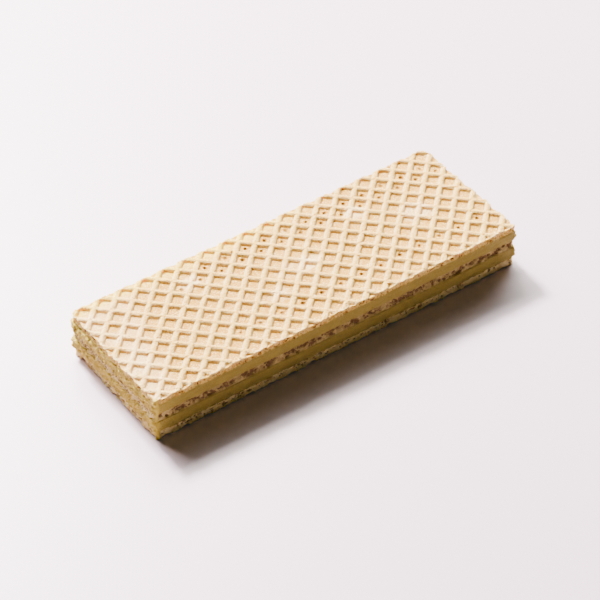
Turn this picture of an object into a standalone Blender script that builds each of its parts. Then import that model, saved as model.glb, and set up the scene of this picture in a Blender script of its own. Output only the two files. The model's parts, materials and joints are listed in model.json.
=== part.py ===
"""A cream-filled wafer bar: three baked wafer sheets with two layers of cream between them.

The outer sheets carry the raised square lattice of the baking plates. The sheets are cut to size after
baking, so the cells are cut through at the edges. The cream stands a little proud of the sheets at the
two ends. Units are metres, +Z is up, and the origin is the centre of the bar's footprint.
"""
import math

import bmesh
import bpy
from mathutils import Matrix, Vector, noise

# Bar
SHEET_LENGTH = 0.107
SHEET_WIDTH = 0.0374
LAYER_GAP = 0.0003

# Layers, from the bottom to the top: name, thickness, how far the ends and the long sides stand out from
# the sheets' cut size, how far the middle of the layer's edge bellies out, and how rough that edge is
LAYERS = (
    ("wafer_bottom", 0.0025, -0.0001, 0.0, 0.0, 0.00025),
    ("cream_lower", 0.0030, 0.0005, -0.0003, 0.00025, 0.00040),
    ("wafer_middle", 0.0026, -0.0004, -0.0002, 0.0, 0.00035),
    ("cream_upper", 0.0025, 0.0006, -0.0003, 0.00025, 0.00045),
    ("wafer_top", 0.0023, 0.0, 0.0, 0.0, 0.00030),
)

# Lattice of the baking plates: ribs run at 45 degrees to the bar's length
RIB_REPEAT_X = 0.006
CELL = RIB_REPEAT_X / math.sqrt(2)
RIB_CROSSING_X = 0.003
RIB_CROSSING_Y = 0.0015
CREST_WIDTH = 0.0007
CREST_CROWN = 0.00008
WALL_RUN = 0.0006
PIT_DEPTH = 0.0006

# Edges
EDGE_BAND = 0.0025
EDGE_GRAIN = 0.0028
EDGE_STEP = 0.0027
UNDERCUT = 0.0002
RIM_SPACING = 0.00015
BACK_SPACING = 0.0009
CORNER_CUTS = 3
# Corner radii by the signs of x and y: the two far corners are worn round
CORNER_RADII = {(-1, -1): 0.0006, (1, -1): 0.0009, (1, 1): 0.0022, (-1, 1): 0.0018}

WAFER_COLOUR = (0.80, 0.62, 0.38, 1.0)
CRUMB_COLOUR = (0.62, 0.42, 0.22, 1.0)
CREAM_COLOUR = (0.78, 0.66, 0.30, 1.0)


def clear_scene():
    for scene_object in list(bpy.data.objects):
        bpy.data.objects.remove(scene_object, do_unlink=True)


def make_material(name, colour, roughness):
    material = bpy.data.materials.new(name)
    material.use_nodes = True
    shader = material.node_tree.nodes["Principled BSDF"]
    shader.inputs["Base Color"].default_value = colour
    shader.inputs["Roughness"].default_value = roughness
    shader.inputs["Metallic"].default_value = 0.0
    material.diffuse_color = colour
    return material


def add_part(name, bm, collection, material):
    mesh = bpy.data.meshes.new(name)
    bm.to_mesh(mesh)
    bm.free()
    mesh.materials.append(material)
    part = bpy.data.objects.new(name, mesh)
    collection.objects.link(part)
    return part


def whole_geometry(bm):
    return bm.verts[:] + bm.edges[:] + bm.faces[:]


def cut_away(bm, point, outward):
    """Cut along the plane through the point, and remove what lies on its outer side."""
    bmesh.ops.bisect_plane(bm, geom=whole_geometry(bm), dist=1e-7, plane_co=point, plane_no=outward,
                           clear_outer=True)


def trim_to_sheet(bm):
    """Cut a flat mesh to the sheet's length and width, then round its four corners."""
    half_x = SHEET_LENGTH / 2
    half_y = SHEET_WIDTH / 2
    for side in (-1, 1):
        cut_away(bm, Vector((side * half_x, 0, 0)), Vector((side, 0, 0)))
        cut_away(bm, Vector((0, side * half_y, 0)), Vector((0, side, 0)))
    for (side_x, side_y), radius in CORNER_RADII.items():
        centre = Vector((side_x * (half_x - radius), side_y * (half_y - radius), 0))
        for step in range(1, CORNER_CUTS + 1):
            angle = math.pi / 2 * step / (CORNER_CUTS + 1)
            outward = Vector((side_x * math.cos(angle), side_y * math.sin(angle), 0))
            cut_away(bm, centre + outward * radius, outward)


def rim_edges(bm):
    return [edge for edge in bm.edges if edge.is_boundary]


def raise_rim(bm, height):
    """Extrude the open rim straight up or down to a height and return the new vertices."""
    extruded = bmesh.ops.extrude_edge_only(bm, edges=rim_edges(bm))["geom"]
    verts = [item for item in extruded if isinstance(item, bmesh.types.BMVert)]
    for vert in verts:
        vert.co.z = height
    return verts


def close_rim(bm):
    bmesh.ops.holes_fill(bm, edges=rim_edges(bm), sides=0)
    bmesh.ops.recalc_face_normals(bm, faces=bm.faces[:])


def edge_share(value, half_size):
    """0 inside the edge band, 1 at the cut edge, with the side's sign."""
    share = (abs(value) - (half_size - EDGE_BAND)) / EDGE_BAND
    return math.copysign(max(0.0, share), value)


def roughen_edge(bm, seed, end_reach, side_reach, belly, rough, low, high):
    """Shift the outer band of a layer in and out, so that its edge is as uneven as a cut, filled bar."""
    middle = (low + high) / 2
    for vert in bm.verts:
        rise = (vert.co.z - middle) / (high - middle)
        grain = noise.noise(vert.co / EDGE_GRAIN + Vector((seed, 0, 0)))
        uneven = rough * grain + belly * (1 - rise * rise)
        shift_x = edge_share(vert.co.x, SHEET_LENGTH / 2) * (end_reach + uneven)
        shift_y = edge_share(vert.co.y, SHEET_WIDTH / 2) * (side_reach + uneven)
        vert.co += Vector((shift_x, shift_y, 0))


def lattice_face(bm):
    """Square cells at 45 degrees below z = 0: half of a crowned crest all round, a sloped wall and a floor."""
    reach = math.hypot(SHEET_LENGTH, SHEET_WIDTH)
    cells = 2 * math.ceil(reach / CELL / 2)
    place = Matrix.Translation((RIB_CROSSING_X, RIB_CROSSING_Y, 0)) @ Matrix.Rotation(math.pi / 4, 4, "Z")
    bmesh.ops.create_grid(bm, x_segments=cells, y_segments=cells, size=cells * CELL / 2, matrix=place)
    outside = [face for face in bm.faces
               if abs(face.calc_center_median().x) > SHEET_LENGTH / 2 + CELL
               or abs(face.calc_center_median().y) > SHEET_WIDTH / 2 + CELL]
    bmesh.ops.delete(bm, geom=outside, context="FACES")
    pits = bm.faces[:]
    for width, drop in ((CREST_WIDTH / 2, CREST_CROWN), (WALL_RUN, PIT_DEPTH - CREST_CROWN)):
        bmesh.ops.inset_individual(bm, faces=pits, thickness=width, depth=-drop, use_even_offset=True)


def lattice_sheet(crest_height, back_height):
    """An outer sheet: the lattice on its outer face, and a flat back against the cream."""
    facing = math.copysign(1, crest_height - back_height)
    bm = bmesh.new()
    lattice_face(bm)
    trim_to_sheet(bm)
    rim = [vert for vert in bm.verts if vert.is_boundary]
    bmesh.ops.remove_doubles(bm, verts=rim, dist=RIM_SPACING)
    for vert in bm.verts:
        vert.co.z = crest_height + facing * vert.co.z
    back = raise_rim(bm, back_height)
    for vert in back:
        vert.co.x -= edge_share(vert.co.x, SHEET_LENGTH / 2) * UNDERCUT
        vert.co.y -= edge_share(vert.co.y, SHEET_WIDTH / 2) * UNDERCUT
    bmesh.ops.remove_doubles(bm, verts=back, dist=BACK_SPACING)
    close_rim(bm)
    return bm


def plain_layer(low, high):
    """A flat layer with a point every few millimetres along its edge and a ring at half height."""
    bm = bmesh.new()
    size = Matrix.Diagonal((SHEET_LENGTH, SHEET_WIDTH, 1, 1))
    bmesh.ops.create_grid(bm, x_segments=round(SHEET_LENGTH / EDGE_STEP),
                          y_segments=round(SHEET_WIDTH / EDGE_STEP), size=0.5, matrix=size)
    bmesh.ops.dissolve_faces(bm, faces=bm.faces[:])
    trim_to_sheet(bm)
    for vert in bm.verts:
        vert.co.z = low
    raise_rim(bm, (low + high) / 2)
    raise_rim(bm, high)
    close_rim(bm)
    return bm


def build_bar():
    collection = bpy.data.collections.new("protein_wafer")
    bpy.context.scene.collection.children.link(collection)
    materials = {
        "wafer_top": make_material("wafer_face", WAFER_COLOUR, 0.8),
        "wafer_bottom": make_material("wafer_face_under", WAFER_COLOUR, 0.8),
        "wafer_middle": make_material("wafer_crumb", CRUMB_COLOUR, 0.9),
        "cream_upper": make_material("cream_upper", CREAM_COLOUR, 0.6),
        "cream_lower": make_material("cream_lower", CREAM_COLOUR, 0.6),
    }
    base = 0.0
    total = sum(layer[1] for layer in LAYERS)
    for seed, (name, thickness, end_reach, side_reach, belly, rough) in enumerate(LAYERS):
        low = base + (LAYER_GAP / 2 if base > 0 else 0)
        high = base + thickness - (LAYER_GAP / 2 if base + thickness < total - LAYER_GAP else 0)
        if name == "wafer_top":
            bm = lattice_sheet(high, low)
        elif name == "wafer_bottom":
            bm = lattice_sheet(low, high)
        else:
            bm = plain_layer(low, high)
        roughen_edge(bm, seed * 7.3, end_reach, side_reach, belly, rough, low, high)
        add_part(name, bm, collection, materials[name])
        base += thickness


clear_scene()
build_bar()
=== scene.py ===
# %% [markdown]
# # A cream-filled wafer bar
# Three baked wafer sheets hold two layers of cream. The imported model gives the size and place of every
# layer. This script replaces each plain solid with a finely modelled piece and gives each one a baked or
# creamy finish.

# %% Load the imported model
import json
import math
import random

import bmesh
import bpy
import numpy as np
from mathutils import Matrix, Vector, kdtree, noise

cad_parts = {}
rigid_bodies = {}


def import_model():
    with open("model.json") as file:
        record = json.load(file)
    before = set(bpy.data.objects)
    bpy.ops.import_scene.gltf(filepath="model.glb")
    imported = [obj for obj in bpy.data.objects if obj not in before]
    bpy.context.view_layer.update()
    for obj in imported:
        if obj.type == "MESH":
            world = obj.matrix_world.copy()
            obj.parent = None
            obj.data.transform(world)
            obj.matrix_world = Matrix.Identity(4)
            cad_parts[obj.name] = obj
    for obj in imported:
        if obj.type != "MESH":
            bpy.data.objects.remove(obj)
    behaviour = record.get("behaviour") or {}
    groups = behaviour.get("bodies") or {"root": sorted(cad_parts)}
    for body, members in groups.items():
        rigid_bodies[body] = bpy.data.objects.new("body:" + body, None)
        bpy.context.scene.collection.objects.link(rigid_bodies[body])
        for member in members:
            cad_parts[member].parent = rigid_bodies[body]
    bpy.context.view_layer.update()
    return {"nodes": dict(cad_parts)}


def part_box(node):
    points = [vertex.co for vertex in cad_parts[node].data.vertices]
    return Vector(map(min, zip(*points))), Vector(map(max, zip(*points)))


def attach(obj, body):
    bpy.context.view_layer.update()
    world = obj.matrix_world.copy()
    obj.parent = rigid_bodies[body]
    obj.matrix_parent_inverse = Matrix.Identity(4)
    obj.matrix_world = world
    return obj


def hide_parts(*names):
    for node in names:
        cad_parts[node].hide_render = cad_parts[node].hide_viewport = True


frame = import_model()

MM = 0.001
layer_box = {name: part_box(name) for name in frame["nodes"]}
for name, (low, high) in sorted(layer_box.items(), key=lambda item: item[1][0].z):
    print(f"{name}: {(high - low).x / MM:.1f} x {(high - low).y / MM:.1f} mm, "
          f"from z {low.z / MM:.2f} to {high.z / MM:.2f} mm")

# %% [markdown]
# ## Camera
# The bar is seen from above its near left corner through a long lens, so its edges stay almost parallel.
# The camera stands on a line through the bar's footprint centre, then slides a little to frame it.

# %% Camera
CAMERA_AZIMUTH = math.radians(-35.57)
CAMERA_ELEVATION = math.radians(42.38)
CAMERA_DISTANCE = 0.6027
CAMERA_SLIDE_RIGHT = 0.00074
CAMERA_SLIDE_UP = 0.00159
CAMERA_LENS = 145.9
CAMERA_SENSOR = 36
CAMERA_REACH = 10


def add_camera():
    """A camera that looks straight at the bar from the chosen side and height."""
    back = Vector((math.sin(CAMERA_AZIMUTH) * math.cos(CAMERA_ELEVATION),
                   -math.cos(CAMERA_AZIMUTH) * math.cos(CAMERA_ELEVATION),
                   math.sin(CAMERA_ELEVATION)))
    right = Vector((math.cos(CAMERA_AZIMUTH), math.sin(CAMERA_AZIMUTH), 0))
    up = back.cross(right)
    data = bpy.data.cameras.new("camera")
    data.lens = CAMERA_LENS
    data.sensor_width = CAMERA_SENSOR
    data.clip_end = CAMERA_REACH
    camera = bpy.data.objects.new("camera", data)
    place = back * CAMERA_DISTANCE + right * CAMERA_SLIDE_RIGHT + up * CAMERA_SLIDE_UP
    turn = Matrix((right, up, back)).transposed().to_4x4()
    camera.matrix_world = Matrix.Translation(place) @ turn
    bpy.context.scene.collection.objects.link(camera)
    bpy.context.scene.camera = camera
    return camera


camera = add_camera()
print("the camera stands at", [round(value, 3) for value in camera.location])

# %% [markdown]
# ## Floor and light
# The light comes from behind the bar, so its shadow falls towards the viewer and the walls of the lattice
# that face the viewer stay in shade. The shadow is dark by the bar and fades outwards, which one even lamp
# can't give. So a small bright lamp sits in the middle of a wider weak one, and a third reaches round to
# the right. The world is nearly dark, because the shadow beside the bar is deep.

# %% Floor
FLOOR_SIZE = 3.0
FLOOR_COLOUR = (0.655, 0.502, 0.572, 1.0)
FLOOR_ROUGHNESS = 0.40
FLOOR_SHINE = 0.8


def deselect_all():
    for scene_object in bpy.context.view_layer.objects:
        scene_object.select_set(False)
    bpy.context.view_layer.objects.active = None


def add_floor():
    deselect_all()
    bpy.ops.mesh.primitive_plane_add(size=FLOOR_SIZE, location=(0, 0, 0))
    floor = bpy.context.object
    floor.name = "floor"
    material = bpy.data.materials.new("floor_card")
    material.use_nodes = True
    shader = material.node_tree.nodes["Principled BSDF"]
    shader.inputs["Base Color"].default_value = FLOOR_COLOUR
    shader.inputs["Roughness"].default_value = FLOOR_ROUGHNESS
    shader.inputs["Specular IOR Level"].default_value = FLOOR_SHINE
    floor.data.materials.append(material)
    return floor


floor = add_floor()
print("the floor is", FLOOR_SIZE, "m wide")

# %% Lights
KEY_DISTANCE = 1.2
CORE_COLOUR = (1.0, 0.940, 0.980)
HALO_COLOUR = (1.0, 0.965, 0.915)
# Turn and height in degrees, width and height in metres, watts, colour
LIGHTS = {
    "core": (2, 41.5, (0.20, 0.14), 88.0, CORE_COLOUR),
    "halo": (3, 41.5, (0.90, 0.42), 56.0, HALO_COLOUR),
    "side": (36, 42.0, (1.00, 0.58), 18.0, HALO_COLOUR),
}
WORLD_COLOUR = (0.70, 1.0, 0.64, 1.0)
WORLD_STRENGTH = 0.068


def add_light(name, turn, elevation, size, power, colour):
    """An area light behind the bar, turned a little from straight behind, facing the bar."""
    direction = Vector((math.tan(turn), math.cos(elevation), math.sin(elevation))).normalized()
    data = bpy.data.lights.new(name, "AREA")
    data.shape = "RECTANGLE"
    data.size, data.size_y = size
    data.energy = power
    data.color = colour
    light = bpy.data.objects.new(name, data)
    light.location = direction * KEY_DISTANCE
    light.rotation_euler = direction.to_track_quat("Z", "Y").to_euler()
    bpy.context.scene.collection.objects.link(light)
    return light


def add_world():
    world = bpy.data.worlds.new("studio")
    world.use_nodes = True
    background = world.node_tree.nodes["Background"]
    background.inputs["Color"].default_value = WORLD_COLOUR
    background.inputs["Strength"].default_value = WORLD_STRENGTH
    bpy.context.scene.world = world


for name, (turn, elevation, size, power, colour) in LIGHTS.items():
    add_light("back_light_" + name, math.radians(turn), math.radians(elevation), size, power, colour)
add_world()
print("light from behind:", sum(values[3] for values in LIGHTS.values()), "W")

# %% [markdown]
# ## Working helpers
# Operators act on whatever is selected, so each step first deselects everything and then picks what it
# needs by place. Edit mode is entered with a test that says which points, edges or faces are picked.

# %% Picking in edit mode
TINY = 1e-6


def activate(piece):
    deselect_all()
    piece.select_set(True)
    bpy.context.view_layer.objects.active = piece


def pick(piece, kind, wanted):
    """Enter edit mode on the piece with only the wanted points, edges or faces selected."""
    activate(piece)
    bpy.ops.object.mode_set(mode="EDIT")
    bpy.context.tool_settings.mesh_select_mode = (kind == "VERT", kind == "EDGE", kind == "FACE")
    bpy.ops.mesh.select_all(action="DESELECT")
    bm = bmesh.from_edit_mesh(piece.data)
    items = {"VERT": bm.verts, "EDGE": bm.edges, "FACE": bm.faces}[kind]
    for item in items:
        if wanted(item):
            item.select = True
    bm.select_flush_mode()
    bmesh.update_edit_mesh(piece.data)


def everything(item):
    """A test that every point, edge or face passes."""
    return True


def leave_edit():
    bpy.ops.object.mode_set(mode="OBJECT")


def apply_modifiers(piece):
    activate(piece)
    for modifier in list(piece.modifiers):
        bpy.ops.object.modifier_apply(modifier=modifier.name)


def copy_of(piece, name):
    twin = piece.copy()
    twin.data = piece.data.copy()
    twin.name = name
    bpy.context.scene.collection.objects.link(twin)
    return twin


# %% [markdown]
# ## One cell of the lattice
# The baking plates press a lattice of ribs into the outer sheets, at 45 degrees to the bar. A cell is a
# square with half of a rib along each side and a flat floor. A rib is a rounded ridge that meets the floor
# in a firm line. The cell starts as a plane. Bisect draws lines along the ridge, and then everything inside
# each line is moved down a step.

# %% Sizes of the lattice
RIB_REPEAT = 6.0 * MM
CELL = RIB_REPEAT / math.sqrt(2)
RIB_HALF_WIDTH = 0.86 * MM
PIT_DEPTH = 0.70 * MM
RIB_STEEPNESS = 2.6
RIB_LINES = [share * RIB_HALF_WIDTH for share in (0.0, 0.25, 0.45, 0.62, 0.77, 0.90, 1.0)]
FLOOR_STEPS = 2


def pit_drop(distance):
    """How far the surface lies under the crest, on a rounded slope that grows steeper towards the foot."""
    return PIT_DEPTH * min(distance / RIB_HALF_WIDTH, 1.0) ** RIB_STEEPNESS


def bisect_all(point, normal, clear=False):
    """Draw a line right across the piece, and clear away what lies beyond it where asked."""
    bpy.ops.mesh.select_all(action="SELECT")
    bpy.ops.mesh.bisect(plane_co=point, plane_no=normal, clear_outer=clear, threshold=1e-7)


def add_cell():
    """A square with half of a rib along each side and a flat floor."""
    deselect_all()
    bpy.ops.mesh.primitive_plane_add(size=CELL)
    cell = bpy.context.object
    cell.name = "lattice_cell"
    floor_lines = list(np.linspace(RIB_LINES[-1], CELL / 2, FLOOR_STEPS + 1))[1:]
    pick(cell, "VERT", everything)
    for distance in RIB_LINES[1:] + floor_lines:
        for side in (-1, 1):
            place = side * (CELL / 2 - distance)
            bisect_all((place, 0, 0), (1, 0, 0))
            bisect_all((0, place, 0), (0, 1, 0))
    leave_edit()
    for outer, inner in zip(RIB_LINES, RIB_LINES[1:]):
        reach = CELL / 2 - inner + TINY
        pick(cell, "VERT", lambda vert: max(abs(vert.co.x), abs(vert.co.y)) < reach)
        bpy.ops.transform.translate(value=(0, 0, pit_drop(outer) - pit_drop(inner)))
        leave_edit()
    return cell


cell = add_cell()
print("one cell has", len(cell.data.polygons), "faces and is", round(pit_drop(CELL / 2) / MM, 2), "mm deep")

# %% [markdown]
# ## The lattice over a whole sheet
# Two cells side by side on the diagonal repeat along and across the bar, so an Array in each direction
# fills the sheet. The lattice is then cut to the sheet's outline, because the real sheets are sawn after
# baking.

# %% Outline of the sheets
SHEET_HALF = (53.5 * MM, 18.7 * MM)
CORNER_RADII = {(-1, -1): 0.6 * MM, (1, -1): 0.9 * MM, (1, 1): 2.2 * MM, (-1, 1): 1.8 * MM}
CORNER_CUTS = 5


def cut_outline(piece, half):
    """Cut a flat mesh to a length and width and round its corners."""
    half_x, half_y = half
    pick(piece, "VERT", everything)
    for side in (-1, 1):
        bisect_all((side * half_x, 0, 0), (side, 0, 0), clear=True)
        bisect_all((0, side * half_y, 0), (0, side, 0), clear=True)
    for (side_x, side_y), radius in CORNER_RADII.items():
        for step in range(1, CORNER_CUTS + 1):
            angle = math.pi / 2 * step / (CORNER_CUTS + 1)
            outward = Vector((side_x * math.cos(angle), side_y * math.sin(angle), 0))
            centre = Vector((side_x * (half_x - radius), side_y * (half_y - radius), 0))
            bisect_all(centre + outward * radius, outward, clear=True)
    leave_edit()


# %% Repeat the cell
LATTICE_COLUMNS = 19
LATTICE_ROWS = 8
LATTICE_START = (-54.0 * MM, -22.5 * MM, 0)
MERGE_DISTANCE = 0.01 * MM


def add_lattice(lattice):
    """Turn the one cell into a lattice that has the sheet's outline."""
    lattice.name = "lattice"
    pick(lattice, "VERT", everything)
    bpy.ops.transform.rotate(value=math.radians(45), orient_axis="Z", center_override=(0, 0, 0))
    bpy.ops.mesh.duplicate()
    bpy.ops.transform.translate(value=(RIB_REPEAT / 2, RIB_REPEAT / 2, 0))
    bpy.ops.mesh.select_all(action="SELECT")
    bpy.ops.transform.translate(value=LATTICE_START)
    leave_edit()
    for count, offset in ((LATTICE_COLUMNS, (RIB_REPEAT, 0, 0)), (LATTICE_ROWS, (0, RIB_REPEAT, 0))):
        array = lattice.modifiers.new("repeat", "ARRAY")
        array.use_relative_offset = False
        array.use_constant_offset = True
        array.constant_offset_displace = offset
        array.count = count
    apply_modifiers(lattice)
    pick(lattice, "VERT", everything)
    bpy.ops.mesh.remove_doubles(threshold=MERGE_DISTANCE)
    leave_edit()
    cut_outline(lattice, SHEET_HALF)
    return lattice


lattice = add_lattice(cell)
print("the lattice has", len(lattice.data.polygons), "faces")

# %% [markdown]
# ## The cut sides of a sheet
# The lattice is a skin without thickness. Its open rim is extruded down to the height of the back, and the
# new wall is subdivided into fine rows, so that pores can be pressed into it.

# %% Give the lattice its sides and back
SIDE_ROWS = 11
GAP_FILL = 0.155 * MM
SHORTEST_UPRIGHT = 0.2 * MM


def thickness_of(node):
    """The thickness of the layer's solid, and of the half of the gap that its piece fills."""
    low, high = layer_box[node]
    return high.z - low.z + GAP_FILL


def is_upright(edge):
    first, second = edge.verts
    flat = (first.co.xy - second.co.xy).length
    return flat < TINY and abs(first.co.z - second.co.z) > SHORTEST_UPRIGHT


def close_sheet(sheet, thickness):
    """Extrude the rim down, divide the wall into rows and fill the back."""
    pick(sheet, "EDGE", lambda edge: edge.is_boundary)
    bpy.ops.mesh.extrude_region_move(TRANSFORM_OT_translate={"value": (0, 0, -thickness)})
    bpy.ops.transform.resize(value=(1, 1, 0), center_override=(0, 0, -thickness))
    bpy.ops.mesh.edge_face_add()
    leave_edit()
    pick(sheet, "EDGE", is_upright)
    bpy.ops.mesh.subdivide(number_cuts=SIDE_ROWS - 1)
    leave_edit()


def turn_faces_outwards(piece):
    pick(piece, "FACE", everything)
    bpy.ops.mesh.normals_make_consistent(inside=False)
    leave_edit()


def triangles_of(piece):
    return sum(len(face.vertices) - 2 for face in piece.data.polygons)


wafer_top = copy_of(lattice, "baked_sheet_top")
close_sheet(wafer_top, thickness_of("wafer_top"))
wafer_bottom = copy_of(lattice, "baked_sheet_bottom")
close_sheet(wafer_bottom, thickness_of("wafer_bottom"))
bpy.data.objects.remove(lattice)
print("the top sheet has", triangles_of(wafer_top), "triangles")

# %% [markdown]
# ## Moving many points at once
# Broken crumb and spread cream have no two spots alike, which no operator gives. So the finest shapes are
# moved in code, as a sculpting brush would move them. A sheet's side knows which way is outwards from its
# outline, smooth noise gives lumps of a chosen size, and a pore is a ball-shaped dent. How deep a point went
# is kept as an attribute on the mesh, so that the material can paint shade into the same spot.

# %% Points, noise and attributes
def points_of(piece):
    flat = np.empty(len(piece.data.vertices) * 3)
    piece.data.vertices.foreach_get("co", flat)
    return flat.reshape(-1, 3)


def set_points(piece, points):
    piece.data.vertices.foreach_set("co", np.ascontiguousarray(points).ravel())
    piece.data.update()


def mark(piece, name, values):
    """Keep one number for each point as an attribute that a material can read."""
    layer = piece.data.attributes.new(name, "FLOAT", "POINT")
    layer.data.foreach_set("value", np.asarray(values, dtype=np.float32))


def lumps(points, size, seed):
    """Smooth noise from -1 to 1 whose lumps are about this size."""
    shift = Vector((seed * 17.31, seed * 5.17, seed * 9.73))
    return np.array([noise.noise(Vector(point) / size + shift) for point in points])


def smooth_step(values, start, end):
    """Go smoothly from 0 to 1 while the values go from start to end."""
    share = np.clip((values - start) / (end - start), 0.0, 1.0)
    return share * share * (3 - 2 * share)


# %% Distance to the outline
def outline_of(points, half):
    """For each point, the distance in from the sheet's outline and the outward direction."""
    sign = np.where(points[:, :2] < 0, -1.0, 1.0)
    radius = np.zeros(len(points))
    for (side_x, side_y), corner in CORNER_RADII.items():
        radius[(sign[:, 0] == side_x) & (sign[:, 1] == side_y)] = corner
    beyond = np.abs(points[:, :2]) - (np.array(half) - radius[:, None])
    in_corner = (beyond > 0).all(axis=1)
    length = np.maximum(np.linalg.norm(beyond, axis=1), 1e-9)
    along_x = beyond[:, 0] > beyond[:, 1]
    outward = np.where(along_x[:, None], [1.0, 0.0], [0.0, 1.0])
    outward[in_corner] = beyond[in_corner] / length[in_corner, None]
    inside = radius - np.where(in_corner, length, beyond.max(axis=1))
    return inside, np.column_stack([outward * sign, np.zeros(len(points))])


# %% Pores
def press_pores(points, pores, flatten=1.0, sharpness=0.6):
    """How deep each point sinks into a list of ball-shaped dents, given as place, radius and depth."""
    tree = kdtree.KDTree(len(points))
    for index, (x, y, z) in enumerate(points):
        tree.insert((x, y, z * flatten), index)
    tree.balance()
    sunk = np.zeros(len(points))
    for (x, y, z), radius, depth in pores:
        for _, index, distance in tree.find_range((x, y, z * flatten), radius):
            here = depth * (1 - (distance / radius) ** 2) ** sharpness
            if here > sunk[index]:
                sunk[index] = here
    return sunk


def scatter_pores(points, rng, count, radii, depths, keep=None):
    """Pores of random size on points picked at random, where keep allows them."""
    pores = []
    while len(pores) < count:
        place = points[rng.randrange(len(points))]
        if keep is None or keep(place):
            size = rng.random()
            radius = radii[0] + (radii[1] - radii[0]) * size * size
            depth = rng.uniform(*depths) * radius
            pores.append((place, radius, depth))
    return pores


# %% Crowds of pores
CROWD_SIZE = 2.4 * MM
CROWD_LEVEL = -0.22


def is_crowded(place):
    """Pores come in crowds with calmer stretches between them."""
    return noise.noise(Vector(place) / CROWD_SIZE) > CROWD_LEVEL


# %% [markdown]
# ## The top sheet
# The sheet is shaped with its crests at height zero, and then moves up into its place. Its sawn side loses
# its straightness and takes pores between the two skins, and its ribs chip where the saw went through them.
# Cells near the long edges have a round dimple where a steam bubble burst in the baking, and only the faces
# around a dimple are divided more finely.

# %% Choose the places of the dimples
DIMPLE_RADIUS = 0.66 * MM
DIMPLE_DEPTH = 0.46 * MM
DIMPLE_CUTS = 4
DIMPLE_STEP = 6
DIMPLE_SHIFT = 0.25
# Place across the sheet, and first and last place along it, of each row in mm
DIMPLE_ROWS = ((13.5, -18, 48), (10.5, -27, 51), (-10.5, -24, 48))


def dimple_places(rng):
    """One dimple for each cell of the rows, a little off its regular place."""
    places = []
    for y, first_x, last_x in DIMPLE_ROWS:
        for x in range(first_x, last_x + 1, DIMPLE_STEP):
            shift_x = rng.uniform(-DIMPLE_SHIFT, DIMPLE_SHIFT)
            shift_y = rng.uniform(-DIMPLE_SHIFT, DIMPLE_SHIFT)
            places.append(((x + shift_x) * MM, (y + shift_y) * MM))
    return places


def refine_around(piece, places, reach, cuts):
    """Divide the faces of the lattice within reach of the given places."""
    tree = kdtree.KDTree(len(places))
    for index, (x, y) in enumerate(places):
        tree.insert((x, y, 0), index)
    tree.balance()

    def is_near(face):
        middle = face.calc_center_median()
        is_sawn_side = abs(face.normal.z) <= 0.3
        is_back = len(face.verts) > 8
        return not is_sawn_side and not is_back and tree.find((middle.x, middle.y, 0))[2] < reach

    pick(piece, "FACE", is_near)
    bpy.ops.mesh.subdivide(number_cuts=cuts)
    leave_edit()


dimples = dimple_places(random.Random(5))
refine_around(wafer_top, dimples, DIMPLE_RADIUS * 1.3, DIMPLE_CUTS)
print(len(dimples), "dimples; the sheet now has", triangles_of(wafer_top), "triangles")

# %% [markdown]
# Some spots differ from the rest. Cream is smeared down the near left corner and dragged over the seams,
# the left end has a few narrow openings, powder lies in some cells, a paler cover over the left end is
# partly painted light, and the far edge baked to a yellower tone. Each is a function that says how much
# of it there is at every point, so several pieces can share it.

# %% Cream that covers the wafer
def corner_smear(points):
    """Cream smeared down the near left corner, 1 where it covers the layers."""
    along_side = points[:, 0] + SHEET_HALF[0]
    along_end = points[:, 1] + SHEET_HALF[1]
    width = (0.75 + 0.45 * lumps(points * [0, 0, 1], 2.2 * MM, 8)) * MM
    by_side = 1 - smooth_step(along_side, width, width + 0.35 * MM)
    by_end = 1 - smooth_step(along_end, width, width * 1.6)
    return by_side * by_end


def cream_overlap(points, from_seam):
    """Cream dragged a little over the edge of a wafer, in an uneven line along the seam."""
    reach = (0.14 + 0.30 * lumps(points * [1, 1, 0.5], 1.2 * MM, 16)) * MM
    return 1 - smooth_step(from_seam, reach, reach + 0.16 * MM)


# %% Openings in the left end
# Where each opening starts across the end and how long it is, in mm
CAVITIES = ((7.6, 1.6), (1.2, 1.5), (-4.6, 1.4), (-9.6, 1.8), (12.0, 0.9))
SLITS = ((9.6, 1.2), (4.4, 1.6), (-1.4, 1.1), (-6.4, 1.6), (-12.6, 1.8))


def end_slits(rng, x, places, z):
    """Narrow openings in the end at x and at this height, each made of a row of pores."""
    pores = []
    for start, length in places:
        for step in np.arange(0, length, 0.22):
            place = (x, (start + step) * MM, z + rng.uniform(-0.08, 0.08) * MM)
            pores.append((place, rng.uniform(0.20, 0.32) * MM, rng.uniform(0.30, 0.50) * MM))
    return pores


# %% Powder, the golden edge and the paler ends, in part painted light
# Centre along and across the bar, and reach along and across it, in mm
POWDER_PATCHES = ((1, 0.5, 8, 3.2), (37, 0.5, 5, 4), (-9, -5, 4, 3), (24, 9, 4, 3), (-24, 11, 4, 3))


def powder_and_light_cover(points):
    """Pale powder in some cells: over the left end, partly painted light, and in patches along the middle."""
    x, y = points[:, 0] / MM, points[:, 1] / MM
    cover = 0.75 * smooth_step(-x + 0.25 * y, 34, 50)
    for centre_x, centre_y, reach_x, reach_y in POWDER_PATCHES:
        away = np.hypot((x - centre_x) / reach_x, (y - centre_y) / reach_y)
        cover = np.maximum(cover, 1 - smooth_step(away, 0.5, 1.1))
    return cover * np.clip(0.75 + 0.8 * lumps(points, 4.2 * MM, 19), 0, 1)


def golden_cover(points):
    """The far edge baked to a yellower tone, most of all towards the left."""
    far = smooth_step(points[:, 1] / MM, 13.5, 18.2)
    left = smooth_step(-points[:, 0] / MM, -30, 10)
    return far * left


def end_share(outward):
    """1 on the two ends, 0 on the long sides."""
    return smooth_step(np.abs(outward[:, 0]), 0.3, 0.9)


def lit_end_tone(points, outward):
    """The paler tone of the ends, partly painted light, which also reaches round the near left corner."""
    return np.maximum(end_share(outward), 0.45 * smooth_step(-points[:, 0] / MM, 44, 53))


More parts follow.
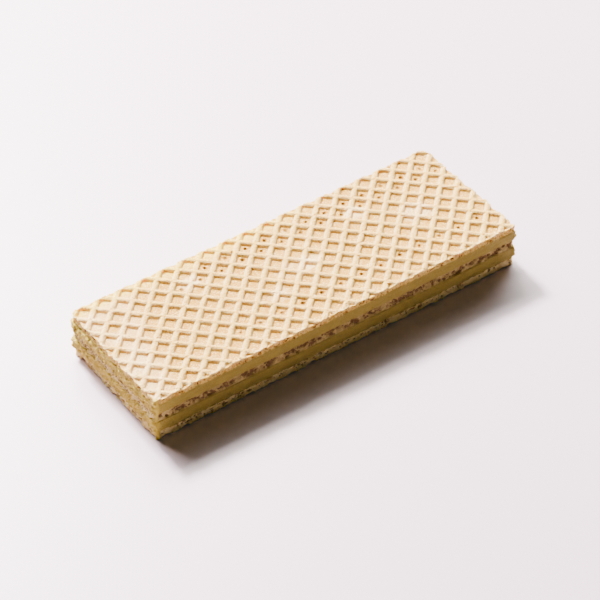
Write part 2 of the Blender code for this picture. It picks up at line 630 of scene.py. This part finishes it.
# %% Pores and waves of the sawn side
def in_fixed_order(points):
    """Sort points by their place, because the cutting doesn't number them the same way in every run."""
    return points[np.lexsort(np.round(points / TINY).T)]


def sawn_pores(rng, side, below_skin, thickness, counts, largest):
    """Larger pores in crowds and small ones all over, between the two skins, and the openings in the end."""
    core = in_fixed_order(side[(below_skin > PIT_DEPTH + 0.10 * MM) & (below_skin < thickness - 0.22 * MM)])
    pores = scatter_pores(core, rng, counts[0], (0.16 * MM, largest), (0.6, 1.5), is_crowded)
    pores += scatter_pores(core, rng, counts[1], (0.10 * MM, 0.20 * MM), (0.7, 1.3))
    return pores + end_slits(rng, -SHEET_HALF[0], CAVITIES, -PIT_DEPTH - 0.30 * MM)


def between_skins(below_skin, thickness):
    """1 in the crumb of the side, and 0 at the two skins, which the pores leave whole."""
    below_top = smooth_step(below_skin, PIT_DEPTH - 0.15 * MM, PIT_DEPTH + 0.08 * MM)
    return below_top * smooth_step(thickness - below_skin, 0.0, 0.20 * MM)


def side_waves(points, outward):
    """How far the saw wandered: long waves, and a fine raggedness that is greater at the ends."""
    waves = 0.13 * MM * lumps(points * [1, 1, 0.4], 4 * MM, 1)
    return waves + (0.14 + 0.36 * end_share(outward)) * MM * lumps(points, 0.8 * MM, 2)


# %% Wear of the ribs
def rib_sway(points):
    """Ribs run a little to and fro, because the dough didn't fill the plates evenly."""
    return np.column_stack([lumps(points, 1.6 * MM, 9), lumps(points, 1.6 * MM, 10), np.zeros(len(points))])


def filled_margin(points, inside):
    """How far the pits at the edge are filled with crumb, from 0 to 1."""
    uneven = 0.45 + 0.75 * lumps(points, 1.2 * MM, 17)
    return np.clip(smooth_step(0.75 * MM - inside, 0, 0.6 * MM) * uneven, 0, 1)


def rib_chips(points, inside, crest):
    """Ribs chipped away: often where the saw went through them, and now and then elsewhere."""
    sawn = smooth_step(lumps(points, 0.9 * MM, 3), 0.10, 0.5) * smooth_step(1.3 * MM - inside, 0, 1.0 * MM)
    rubbed = 0.7 * smooth_step(lumps(points, 0.6 * MM, 13), 0.28, 0.5)
    return np.maximum(sawn, rubbed) * crest


def dimple_dents(points, rng, dimples):
    """How deep the dimples go at each point, seen from above."""
    spots = [((x, y, 0), DIMPLE_RADIUS * rng.uniform(0.75, 1.1), DIMPLE_DEPTH * rng.uniform(0.6, 1.2))
             for x, y in dimples]
    return press_pores(points * [1, 1, 0], spots, sharpness=1.0)


# %% Shape a sheet
SWAY = 0.075 * MM
SMEAR_THICKNESS = 0.06 * MM
DEEPEST_PORE = 0.45 * MM
ON_THE_OUTLINE = 0.02 * MM


def shape_sheet(sheet, rng, thickness, overlap, pore_counts, largest_pore, chip_depth, dimples):
    """Roughen the side, wear the ribs, and keep what the material needs as attributes.

    The sheet is still at the origin with its crests at height zero.
    """
    points = points_of(sheet)
    inside, outward = outline_of(points, SHEET_HALF)
    depth = -points[:, 2]
    pressed = np.clip(depth / PIT_DEPTH, 0, 1)
    upper = depth < PIT_DEPTH + 0.05 * MM

    on_side = inside < ON_THE_OUTLINE
    side_index = np.where(on_side)[0]
    side, below_skin = points[side_index], depth[side_index]
    smear = corner_smear(points) * (inside < 0.3 * MM)
    creamy = cream_overlap(points, thickness - depth - overlap) * on_side
    pores = sawn_pores(rng, side, below_skin, thickness, pore_counts, largest_pore)
    hollow = np.zeros(len(points))
    hollow[side_index] = press_pores(side, pores, flatten=1.2) * between_skins(below_skin, thickness)
    hollow *= (1 - smear) * (1 - creamy)
    near_edge = smooth_step(1.6 * MM - inside, 0, 1.6 * MM)
    out = near_edge * side_waves(points, outward) + SMEAR_THICKNESS * smear - hollow
    points += outward * out[:, None]

    inner = (inside > 0.3 * MM) * (depth < thickness - 0.1 * MM)
    points += rib_sway(points) * (SWAY * inner)[:, None]
    fill = filled_margin(points, inside)
    points[:, 2] += np.where(upper, fill * depth, 0)
    chips = rib_chips(points, inside, 1 - smooth_step(pressed, 0.0, 0.5))
    points[:, 2] -= np.where(upper, chips * chip_depth, 0)
    dent = dimple_dents(points, rng, dimples) * upper
    points[:, 2] -= dent
    rough = 0.036 * MM * lumps(points, 0.5 * MM, 4) + 0.035 * MM * lumps(points, 2.2 * MM, 5)
    points[:, 2] += np.where(upper, rough, 0)
    points[:, 2] = np.minimum(points[:, 2], 0.0)
    set_points(sheet, points)

    rim = on_side * (1 - smooth_step(depth, 0.55 * PIT_DEPTH, PIT_DEPTH))
    mark(sheet, "pressed", pressed)
    mark(sheet, "cut", np.where(on_side, smooth_step(depth, PIT_DEPTH * 0.75, PIT_DEPTH * 1.15), 0))
    mark(sheet, "creamy", creamy)
    mark(sheet, "edge", np.maximum(fill, rim))
    mark(sheet, "hollow", hollow / DEEPEST_PORE)
    mark(sheet, "dimple", dent / DIMPLE_DEPTH)
    mark(sheet, "smear", smear)
    mark(sheet, "powder_and_light", powder_and_light_cover(points))
    mark(sheet, "golden", golden_cover(points))
    mark(sheet, "end", lit_end_tone(points, outward) * on_side)


shape_sheet(wafer_top, random.Random(11), thickness_of("wafer_top"), overlap=0.28 * MM,
            pore_counts=(700, 1600), largest_pore=0.38 * MM, chip_depth=0.24 * MM, dimples=dimples)
crest_level = layer_box["wafer_top"][1].z
pick(wafer_top, "VERT", everything)
bpy.ops.transform.translate(value=(0, 0, crest_level))
leave_edit()
turn_faces_outwards(wafer_top)
print("the top sheet reaches", [round(value / MM, 2) for value in wafer_top.dimensions], "mm")

# %% [markdown]
# ## The bottom sheet
# The lower plate presses the same lattice, so the bottom sheet is the same piece turned over by a mirrored
# scale. That turns its faces inside out, and they are recalculated afterwards.

# %% Shape and turn over the bottom sheet
shape_sheet(wafer_bottom, random.Random(12), thickness_of("wafer_bottom"), overlap=0.0,
            pore_counts=(900, 1500), largest_pore=0.44 * MM, chip_depth=0.45 * MM, dimples=())
pick(wafer_bottom, "VERT", everything)
bpy.ops.transform.resize(value=(1, 1, -1), center_override=(0, 0, 0))
leave_edit()
turn_faces_outwards(wafer_bottom)
print("the bottom sheet reaches", [round(value / MM, 2) for value in wafer_bottom.dimensions], "mm")

# %% [markdown]
# ## Slabs for the inner layers
# The middle wafer and the two layers of cream show only their sides. A plane is cut to the outline, its
# face is taken out and its edges are divided, and the ring is extruded upwards in fine rows. Caps close it.

# %% A slab with finely divided sides
BLANK_SIZE = 130 * MM


def add_slab(name, half, low_z, high_z, spacing, rows):
    """A flat slab with the sheets' outline, whose side is a grid with edges of about this spacing."""
    deselect_all()
    bpy.ops.mesh.primitive_plane_add(size=BLANK_SIZE, location=(0, 0, 0))
    slab = bpy.context.object
    slab.name = name
    cut_outline(slab, half)
    pick(slab, "FACE", everything)
    bpy.ops.mesh.delete(type="ONLY_FACE")
    leave_edit()
    longest = max(half) * 2
    too_long = spacing * 1.5
    while longest > too_long:
        pick(slab, "EDGE", lambda edge: edge.calc_length() > too_long)
        bpy.ops.mesh.subdivide(number_cuts=1)
        leave_edit()
        longest /= 2
    pick(slab, "VERT", everything)
    bpy.ops.transform.translate(value=(0, 0, low_z))
    bpy.ops.mesh.edge_face_add()
    leave_edit()
    pick(slab, "EDGE", everything)
    step = (high_z - low_z) / rows
    for _ in range(rows):
        bpy.ops.mesh.extrude_edges_move(TRANSFORM_OT_translate={"value": (0, 0, step)})
    bpy.ops.mesh.edge_face_add()
    leave_edit()
    turn_faces_outwards(slab)
    return slab


# %% [markdown]
# ## The middle wafer
# Between two layers of cream there is no lattice to see, only the broken crumb of the sheet's side: two
# thin pale skins and, between them, a crowd of pores that run into each other, painted brown as shade.

# %% Model the middle wafer
MIDDLE_HALF = (53.50 * MM, 18.55 * MM)
MIDDLE_SPACING = 0.17 * MM
SLAB_ROWS = 15
LARGE_PORES = 1900
SMALL_PORES = 2600
DEEPEST_MIDDLE_PORE = 0.6 * MM


def filled_heights(node):
    """The lowest and highest level of a layer that also fills half of the gap on both sides."""
    low, high = layer_box[node]
    return low.z - GAP_FILL, high.z + GAP_FILL


def shape_middle(slab, rng, low, high):
    """Break the side into crumb with pores between two skins."""
    points = points_of(slab)
    outward = outline_of(points, MIDDLE_HALF)[1]
    ragged = 0.10 * MM * lumps(points, 1.1 * MM, 14)
    from_skin = np.minimum(points[:, 2] - low, high - points[:, 2]) + ragged
    smear = corner_smear(points)
    core = points[from_skin > 0.25 * MM]
    pores = scatter_pores(core, rng, LARGE_PORES, (0.26 * MM, 0.60 * MM), (0.9, 1.5), is_crowded)
    pores += scatter_pores(core, rng, SMALL_PORES, (0.10 * MM, 0.24 * MM), (0.7, 1.4))
    creamy = cream_overlap(points, from_skin)
    hollow = press_pores(points, pores, flatten=1.3) * (1 - creamy) * (1 - smear)
    hollow *= 1 - 0.6 * end_share(outward)
    slit = press_pores(points, end_slits(rng, -MIDDLE_HALF[0], SLITS, high - 0.35 * MM))
    hollow = np.maximum(hollow, slit)
    flecks = lumps(points, 0.7 * MM, 7)
    waves = 0.09 * MM * lumps(points * [1, 1, 0.4], 5 * MM, 6) + 0.11 * MM * flecks
    torn = 0.30 * lumps(points, 1.8 * MM, 15) + 0.50 * lumps(points, 0.8 * MM, 18)
    waves += torn * MM * end_share(outward)
    points += outward * (waves - hollow)[:, None]
    set_points(slab, points)
    mark(slab, "hollow", hollow / DEEPEST_MIDDLE_PORE)
    mark(slab, "creamy", creamy)
    mark(slab, "fleck", flecks)
    mark(slab, "smear", smear)
    mark(slab, "end", lit_end_tone(points, outward))


middle_low, middle_high = filled_heights("wafer_middle")
wafer_middle = add_slab("baked_sheet_middle", MIDDLE_HALF, middle_low, middle_high, MIDDLE_SPACING, SLAB_ROWS)
shape_middle(wafer_middle, random.Random(21), middle_low, middle_high)
print("the middle wafer has", triangles_of(wafer_middle), "triangles")

# %% [markdown]
# ## The two layers of cream
# The cream was spread on while soft and squeezed out a little when the sheets were pressed together. It
# lies nearly flush at the long sides, stands out at the right end, and swells round the far left corner in
# two lobes. Small bubbles opened when it was cut.

# %% Model the two layers of cream
CREAM_HALF = (53.55 * MM, 18.64 * MM)
CREAM_SPACING = 0.18 * MM
CREAM_BELLY = 0.07 * MM
FAR_LEFT_REACH = 0.38 * MM
SIDE_BUBBLES = 60
END_BUBBLES = 160
DEEPEST_BUBBLE = 0.2 * MM


def squeezed_out(points, outward, right_reach):
    """How far the cream stands out beyond its flush outline at the two ends."""
    right = smooth_step(outward[:, 0], 0.2, 0.9) * right_reach
    far_left = smooth_step(points[:, 1], 7.5 * MM, 12.5 * MM) * smooth_step(-outward[:, 0], 0.0, 0.6)
    return right + far_left * FAR_LEFT_REACH


def shape_cream(slab, rng, low, high, right_reach, seed):
    """Belly the side out, drag it along, tear it at the ends and open its bubbles."""
    points = points_of(slab)
    outward = outline_of(points, CREAM_HALF)[1]
    height = (points[:, 2] - low) / (high - low)
    round_out = 0.4 + 0.6 * np.sqrt(np.clip(1 - np.abs(2 * height - 1) ** 6, 0, 1))
    end = end_share(outward)
    drag = lumps(points * [0.3, 0.3, 1.0], 1.6 * MM, seed)
    swell = lumps(points * [1, 1, 0.5], 4.5 * MM, seed + 1)
    fine = lumps(points, 0.8 * MM, seed + 2)
    out = round_out * (CREAM_BELLY + squeezed_out(points, outward, right_reach) + 0.12 * MM * swell)
    out += (0.05 * drag + (0.05 + 0.50 * end) * fine) * MM
    out += 0.30 * MM * end * lumps(points, 1.6 * MM, seed + 3)
    bubbles = scatter_pores(points, rng, SIDE_BUBBLES, (0.12 * MM, 0.34 * MM), (0.4, 0.9))
    bubbles += scatter_pores(points[end > 0.5], rng, END_BUBBLES, (0.10 * MM, 0.30 * MM), (0.5, 1.0))
    hollow = press_pores(points, bubbles, flatten=1.1)
    points += outward * (out - hollow)[:, None]
    set_points(slab, points)
    mark(slab, "hollow", hollow / DEEPEST_BUBBLE)
    mark(slab, "smear", corner_smear(points))
    mark(slab, "end", lit_end_tone(points, outward))


def add_cream(node, name, right_reach, seed):
    low, high = filled_heights(node)
    slab = add_slab(name, CREAM_HALF, low, high, CREAM_SPACING, SLAB_ROWS)
    shape_cream(slab, random.Random(seed), low, high, right_reach, seed)
    return slab


cream_upper = add_cream("cream_upper", "cream_layer_upper", 0.45 * MM, 31)
cream_lower = add_cream("cream_lower", "cream_layer_lower", 0.65 * MM, 41)
print("each layer of cream has", triangles_of(cream_upper), "triangles")

# %% [markdown]
# ## Crumbs
# Sawing left a few crumbs on the top, most of them along the near edge. No two are alike, so each starts as
# a small ball, gets uneven points and a stretch of its own, and is dropped onto the sheet. At the end they
# are joined to one piece.

# %% Drop the crumbs on the top
CRUMB_RADIUS = 0.22 * MM
CRUMB_COUNT = 70
NEAR_EDGE_SHARE = 0.75
ABOVE_THE_BAR = 0.03


def add_crumb(rng, place, radius):
    """A rounded lump with uneven points, stretched and put in its place."""
    deselect_all()
    bpy.ops.mesh.primitive_ico_sphere_add(subdivisions=2, radius=radius, location=(0, 0, 0))
    crumb = bpy.context.object
    points = points_of(crumb)
    points *= 1 + 0.35 * lumps(points, radius * 1.1, rng.uniform(1, 50))[:, None]
    points *= [rng.uniform(0.8, 1.4), rng.uniform(0.8, 1.2), rng.uniform(0.6, 0.9)]
    set_points(crumb, points + np.array(place))
    return crumb


def add_crumbs(rng, sheet):
    """Drop crumbs onto the sheet and join them to one piece."""
    half_x, half_y = SHEET_HALF
    crumbs = []
    for _ in range(CRUMB_COUNT):
        x = rng.uniform(-half_x + MM, half_x - MM)
        if rng.random() < NEAR_EDGE_SHARE:
            y = -half_y + rng.uniform(0.3, 1.3) * MM
        else:
            y = rng.uniform(-half_y, half_y) * 0.95
        hit, spot, _, _ = sheet.ray_cast((x, y, ABOVE_THE_BAR), (0, 0, -1))
        if hit:
            radius = CRUMB_RADIUS * rng.uniform(0.5, 1.25)
            crumbs.append(add_crumb(rng, spot + Vector((0, 0, radius * 0.1)), radius))
    activate(crumbs[0])
    for crumb in crumbs:
        crumb.select_set(True)
    bpy.ops.object.join()
    joined = bpy.context.object
    joined.name = "loose_crumbs"
    return joined


loose_crumbs = add_crumbs(random.Random(61), wafer_top)
print("the crumbs have", triangles_of(loose_crumbs), "triangles")

# %% [markdown]
# ## Building a finish from nodes
# Every finish is a Principled shader fed by a few patterns: noise of a given size in millimetres, read from
# Object coordinates, and the attributes that the shaping left on each point. These helpers keep the recipes
# short.

# %% Node helpers
def add_node(tree, kind, inputs, **settings):
    """Add a node, link the inputs that are sockets and set the others."""
    made = tree.nodes.new(kind)
    for name, value in settings.items():
        setattr(made, name, value)
    for name, value in inputs.items():
        if isinstance(value, bpy.types.NodeSocket):
            tree.links.new(value, made.inputs[name])
        else:
            made.inputs[name].default_value = value
    return made


def attribute(tree, name):
    """The number that the shaping left on each point under this name."""
    return add_node(tree, "ShaderNodeAttribute", {}, attribute_name=name).outputs["Fac"]


def fade(tree, value, start, end, low=0.0, high=1.0):
    """Go smoothly from low to high while the value goes from start to end."""
    inputs = {"Value": value, "From Min": start, "From Max": end, "To Min": low, "To Max": high}
    return add_node(tree, "ShaderNodeMapRange", inputs, interpolation_type="SMOOTHSTEP").outputs["Result"]


def calculate(tree, operation, first, second):
    return add_node(tree, "ShaderNodeMath", {0: first, 1: second}, operation=operation).outputs[0]


# %% Colours and patterns
# The Mix node has sockets for every kind of value, and these are the ones for colours
MIX_SHARE, MIX_FIRST, MIX_SECOND, MIX_RESULT = 0, 6, 7, 2


def mix_colours(tree, share, first, second):
    """Go from the first colour to the second, each a socket or three numbers, while the share goes to 1."""
    inputs = {MIX_SHARE: share}
    for socket, colour in ((MIX_FIRST, first), (MIX_SECOND, second)):
        inputs[socket] = colour if isinstance(colour, bpy.types.NodeSocket) else (*colour, 1.0)
    return add_node(tree, "ShaderNodeMix", inputs, data_type="RGBA").outputs[MIX_RESULT]


def grain(tree, place, size, detail=2.0, stretch=(1.0, 1.0, 1.0)):
    """Noise around 0.5 whose lumps are about this size."""
    mapped = add_node(tree, "ShaderNodeMapping", {"Vector": place, "Scale": stretch}).outputs["Vector"]
    inputs = {"Vector": mapped, "Scale": 1.0 / size, "Detail": detail, "Roughness": 0.6}
    return add_node(tree, "ShaderNodeTexNoise", inputs).outputs["Fac"]


def pin_pores(tree, place, spacing, radius):
    """Small round spots, 1 inside and 0 outside."""
    inputs = {"Vector": place, "Scale": 1.0 / spacing}
    distance = add_node(tree, "ShaderNodeTexVoronoi", inputs).outputs["Distance"]
    return fade(tree, distance, radius / spacing * 0.6, radius / spacing * 1.3, 1.0, 0.0)


# %% Start and end of a finish
def new_finish(name):
    material = bpy.data.materials.new(name)
    material.use_nodes = True
    tree = material.node_tree
    place = add_node(tree, "ShaderNodeTexCoord", {}).outputs["Object"]
    return material, tree, tree.nodes["Principled BSDF"], place


def finish_surface(tree, shader, colour, height, relief, roughness, shine):
    """Connect the colour and the fine relief, and set how matt the surface is."""
    bump = add_node(tree, "ShaderNodeBump", {"Height": height, "Distance": relief, "Strength": 1.0})
    tree.links.new(bump.outputs["Normal"], shader.inputs["Normal"])
    tree.links.new(colour, shader.inputs["Base Color"])
    shader.inputs["Roughness"].default_value = roughness
    shader.inputs["Specular IOR Level"].default_value = shine


def let_light_in(shader, weight, colour_reach, scale):
    """Let light go a short way under the surface and come out again."""
    shader.inputs["Subsurface Weight"].default_value = weight
    shader.inputs["Subsurface Radius"].default_value = colour_reach
    shader.inputs["Subsurface Scale"].default_value = scale


# %% [markdown]
# ## The baked face
# Baked wafer is matt and sandy. The crests are paler, partly rubbed pale and partly a painted sheen. The
# walls of the cells take a paler, greyer colour that is painted light lifting their shade, and their floors
# kept a warm peach tone. Powder lies in some cells. Where the top sheet was sawn, its crumb is an orange
# brown whose pores are painted darker as shade, and that of the bottom sheet is paler. Colours are given
# in linear light, in which a colour has lower numbers than it would have in a paint program. Cream and the
# pale crumb of the ends, partly painted light, turn up in several finishes, so their colours come first.

# %% Colours that several finishes share
# CREAM is the darker copy for the long sides, partly painted shade. The colours of the ends are paler copies,
# partly the rougher broken face and partly painted light on the lit end faces.
CREAM = (0.335, 0.252, 0.046)
CREAM_LIT_END = (0.63, 0.465, 0.080)
SMEAR = (0.60, 0.450, 0.070)
CRUMB_LIT_END = (0.84, 0.66, 0.25)

# %% Finish of the top and bottom sheets
# The crests' paler colour is partly rubbed crest and partly a painted sheen.
CREST_AND_SHEEN = (0.87, 0.520, 0.095)
# The walls' paler, greyer colour is painted light that lifts their shade.
RIB_WALL_SHADE_FILL = (0.71, 0.530, 0.195)
CELL_FLOOR = (0.60, 0.312, 0.040)
CELL_WARM = (0.50, 0.245, 0.045)
POWDER_AND_PAINTED_LIGHT = (0.96, 0.69, 0.33)
GOLDEN = (0.97, 0.68, 0.095)
RIM = (0.98, 0.72, 0.28)
SAWN_CRUMB = (0.57, 0.305, 0.040)
SAWN_PALE = (0.81, 0.580, 0.150)
# The pore colours are painted shade: a pore is darker the deeper it goes.
SAWN_PORE_SHADE = (0.27, 0.110, 0.012)
SAWN_LOWER = (0.86, 0.65, 0.26)
SAWN_PORE_SHADE_BELOW = (0.42, 0.27, 0.085)
DIMPLE = (0.33, 0.170, 0.030)


def make_baked_face(name, sawn, sawn_pale, sawn_pore_shade, paleness):
    """The lattice's finish, and that of the sawn side in the given colours."""
    material, tree, shader, place = new_finish(name)
    pressed = attribute(tree, "pressed")
    end = attribute(tree, "end")
    fine = grain(tree, place, 0.45 * MM, 2.0)
    sandy = grain(tree, place, 0.30 * MM, 1.0)
    coarse = grain(tree, place, 1.3 * MM, 2.0)
    pores = pin_pores(tree, place, 1.0 * MM, 0.15 * MM)
    pores = calculate(tree, "MULTIPLY", pores, fade(tree, coarse, 0.44, 0.54))
    # Paler crests are partly a painted sheen, and the walls' paler, greyer colour is painted light in their
    # shade.
    colour = mix_colours(tree, fade(tree, pressed, 0.0, 0.16), CREST_AND_SHEEN, RIB_WALL_SHADE_FILL)
    colour = mix_colours(tree, fade(tree, pressed, 0.94, 1.0), colour, CELL_FLOOR)
    colour = mix_colours(tree, fade(tree, coarse, 0.58, 0.36, 0.0, 0.30), colour, CELL_WARM)
    # Powder in some cells; the paler cover over the left end is partly painted light.
    colour = mix_colours(tree, fade(tree, attribute(tree, "powder_and_light"), 0.1, 0.9, 0.0, 0.85), colour, POWDER_AND_PAINTED_LIGHT)
    colour = mix_colours(tree, fade(tree, attribute(tree, "golden"), 0.0, 1.0, 0.0, 0.85), colour, GOLDEN)
    colour = mix_colours(tree, fade(tree, fine, 0.48, 0.34, 0.0, 0.6), colour, CELL_WARM)
    # Pale sandy specks: partly pale sugar and partly painted glints.
    colour = mix_colours(tree, fade(tree, sandy, 0.54, 0.68, 0.0, 0.9), colour, POWDER_AND_PAINTED_LIGHT)
    rim = fade(tree, attribute(tree, "edge"), 0.2, 0.9)
    rim = calculate(tree, "MULTIPLY", rim, fade(tree, fine, 0.44, 0.56))
    colour = mix_colours(tree, rim, colour, RIM)
    colour = mix_colours(tree, calculate(tree, "MULTIPLY", pores, 0.8), colour, DIMPLE)
    colour = mix_colours(tree, fade(tree, attribute(tree, "dimple"), 0.10, 0.55), colour, DIMPLE)
    crumb = mix_colours(tree, fade(tree, fine, 0.37, 0.56), sawn, sawn_pale)
    # The ends take a paler crumb, partly rougher broken crumb and partly painted light on the lit end faces.
    crumb = mix_colours(tree, fade(tree, end, 0.0, 1.0, paleness, 0.15 + paleness), crumb, CRUMB_LIT_END)
    # Painted shade in the pores of the sawn side, darker the deeper they go.
    crumb = mix_colours(tree, fade(tree, attribute(tree, "hollow"), 0.10, 0.6), crumb, sawn_pore_shade)
    colour = mix_colours(tree, attribute(tree, "cut"), colour, crumb)
    # Cream dragged over the seams is darker on the sides and paler on the ends, partly painted shade and
    # light.
    cream = mix_colours(tree, end, CREAM, CREAM_LIT_END)
    colour = mix_colours(tree, attribute(tree, "creamy"), colour, cream)
    colour = mix_colours(tree, attribute(tree, "smear"), colour, SMEAR)
    height = calculate(tree, "SUBTRACT", calculate(tree, "ADD", fine, sandy), pores)
    finish_surface(tree, shader, colour, height, relief=0.30 * MM, roughness=0.65, shine=0.05)
    let_light_in(shader, weight=0.75, colour_reach=(1.0, 0.95, 0.90), scale=0.55 * MM)
    return material


baked_face = make_baked_face("baked_face", SAWN_CRUMB, SAWN_PALE, SAWN_PORE_SHADE, 0.0)
baked_face_below = make_baked_face("baked_face_below", SAWN_LOWER, SAWN_LOWER, SAWN_PORE_SHADE_BELOW, 0.1)
print("the baked face has", len(baked_face.node_tree.nodes), "nodes")

# %% [markdown]
# ## The broken crumb
# The middle sheet shows only its inside: pale skins, a tan crumb, and pores painted dark brown as shade,
# the deeper the darker.

# %% Finish of the middle sheet
SKIN = (0.56, 0.415, 0.140)
CRUMB = (0.42, 0.295, 0.085)
# Painted shade for the pores, darker the deeper they go.
CRUMB_PORE_SHADE = (0.23, 0.130, 0.036)


def make_broken_crumb():
    material, tree, shader, place = new_finish("broken_crumb")
    fine = grain(tree, place, 0.32 * MM, 3.0)
    coarse = grain(tree, place, 1.2 * MM, 2.0)
    colour = mix_colours(tree, fade(tree, attribute(tree, "fleck"), -0.1, 0.35), CRUMB, SKIN)
    # The ends take a paler crumb, partly rougher broken crumb and partly painted light on the lit end faces.
    colour = mix_colours(tree, fade(tree, attribute(tree, "end"), 0.0, 1.0, 0.0, 0.75), colour, CRUMB_LIT_END)
    shade = calculate(tree, "ADD", attribute(tree, "hollow"), fade(tree, fine, 0.35, 0.65, -0.25, 0.25))
    # Painted shade: the pores darken the deeper they go, and the fine noise adds some random tone.
    colour = mix_colours(tree, fade(tree, shade, 0.05, 0.55), colour, CRUMB_PORE_SHADE)
    # Cream dragged over the seams is darker on the sides and paler on the ends, partly painted shade and
    # light.
    cream = mix_colours(tree, attribute(tree, "end"), CREAM, CREAM_LIT_END)
    colour = mix_colours(tree, attribute(tree, "creamy"), colour, cream)
    colour = mix_colours(tree, attribute(tree, "smear"), colour, SMEAR)
    height = calculate(tree, "ADD", fine, coarse)
    finish_surface(tree, shader, colour, height, relief=0.30 * MM, roughness=0.8, shine=0.25)
    return material


broken_crumb = make_broken_crumb()
print("the broken crumb has", len(broken_crumb.node_tree.nodes), "nodes")

# %% [markdown]
# ## The finish of the cream
# The cream is a fat and sugar filling: smooth and a little waxy. On the long sides it is a mustard yellow
# that is partly painted shade, on the rougher ends it is paler, partly painted light, and its opened bubbles
# are painted darker as shade. Light goes a short way into it, so it has a little subsurface scattering.

# %% Finish of the cream
CREAM_PALE = (0.410, 0.308, 0.060)
# The deeper colour serves both the streaks of the cream and painted shade in its bubbles.
CREAM_STREAK_AND_BUBBLE_SHADE = (0.300, 0.222, 0.042)


def make_cream():
    material, tree, shader, place = new_finish("spread_cream")
    fine = grain(tree, place, 0.36 * MM, 3.0)
    streak = grain(tree, place, 1.6 * MM, 3.0, (0.35, 0.35, 1.6))
    colour = mix_colours(tree, fade(tree, streak, 0.40, 0.62), CREAM_STREAK_AND_BUBBLE_SHADE, CREAM)
    colour = mix_colours(tree, fade(tree, fine, 0.50, 0.68, 0.0, 0.7), colour, CREAM_PALE)
    end = attribute(tree, "end")
    # The ends take a paler cream, partly the rougher broken face and partly painted light on the lit end
    # faces.
    colour = mix_colours(tree, fade(tree, end, 0.0, 1.0, 0.0, 0.8), colour, CREAM_LIT_END)
    sandy = grain(tree, place, 0.45 * MM, 1.5)
    specks = calculate(tree, "MULTIPLY", fade(tree, sandy, 0.54, 0.64), fade(tree, end, 0.0, 1.0, 0.04, 0.40))
    colour = mix_colours(tree, specks, colour, CRUMB_LIT_END)
    # Painted shade in the opened bubbles, darker the deeper they go.
    colour = mix_colours(tree, fade(tree, attribute(tree, "hollow"), 0.25, 1.0), colour, CREAM_STREAK_AND_BUBBLE_SHADE)
    colour = mix_colours(tree, attribute(tree, "smear"), colour, SMEAR)
    rough = calculate(tree, "MULTIPLY", sandy, fade(tree, end, 0.0, 1.0, 0.3, 2.5))
    height = calculate(tree, "ADD", calculate(tree, "ADD", fine, streak), rough)
    finish_surface(tree, shader, colour, height, relief=0.16 * MM, roughness=0.55, shine=0.05)
    let_light_in(shader, weight=0.12, colour_reach=(1.0, 0.55, 0.2), scale=0.5 * MM)
    return material


spread_cream = make_cream()
print("the cream has", len(spread_cream.node_tree.nodes), "nodes")

# %% [markdown]
# ## Putting the pieces in place
# Each piece rides with the bar, stands for its solid, and takes its finish.

# %% Dress the bar
SMOOTH_ANGLE = math.radians(60)
pieces = {
    "wafer_top": (wafer_top, "wafer_face", baked_face),
    "cream_upper": (cream_upper, "cream", spread_cream),
    "wafer_middle": (wafer_middle, "wafer_crumb", broken_crumb),
    "cream_lower": (cream_lower, "cream", spread_cream),
    "wafer_bottom": (wafer_bottom, "wafer_face", baked_face_below),
}
for node, (piece, slot, material) in pieces.items():
    activate(piece)
    bpy.ops.object.shade_smooth_by_angle(angle=SMOOTH_ANGLE)
    piece.data.materials.clear()
    piece.data.materials.append(material)
    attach(piece, "root")
    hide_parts(node)
activate(loose_crumbs)
bpy.ops.object.shade_smooth()
loose_crumbs.data.materials.clear()
loose_crumbs.data.materials.append(baked_face)
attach(loose_crumbs, "root")
print("pieces in place:", ", ".join(sorted(pieces)))
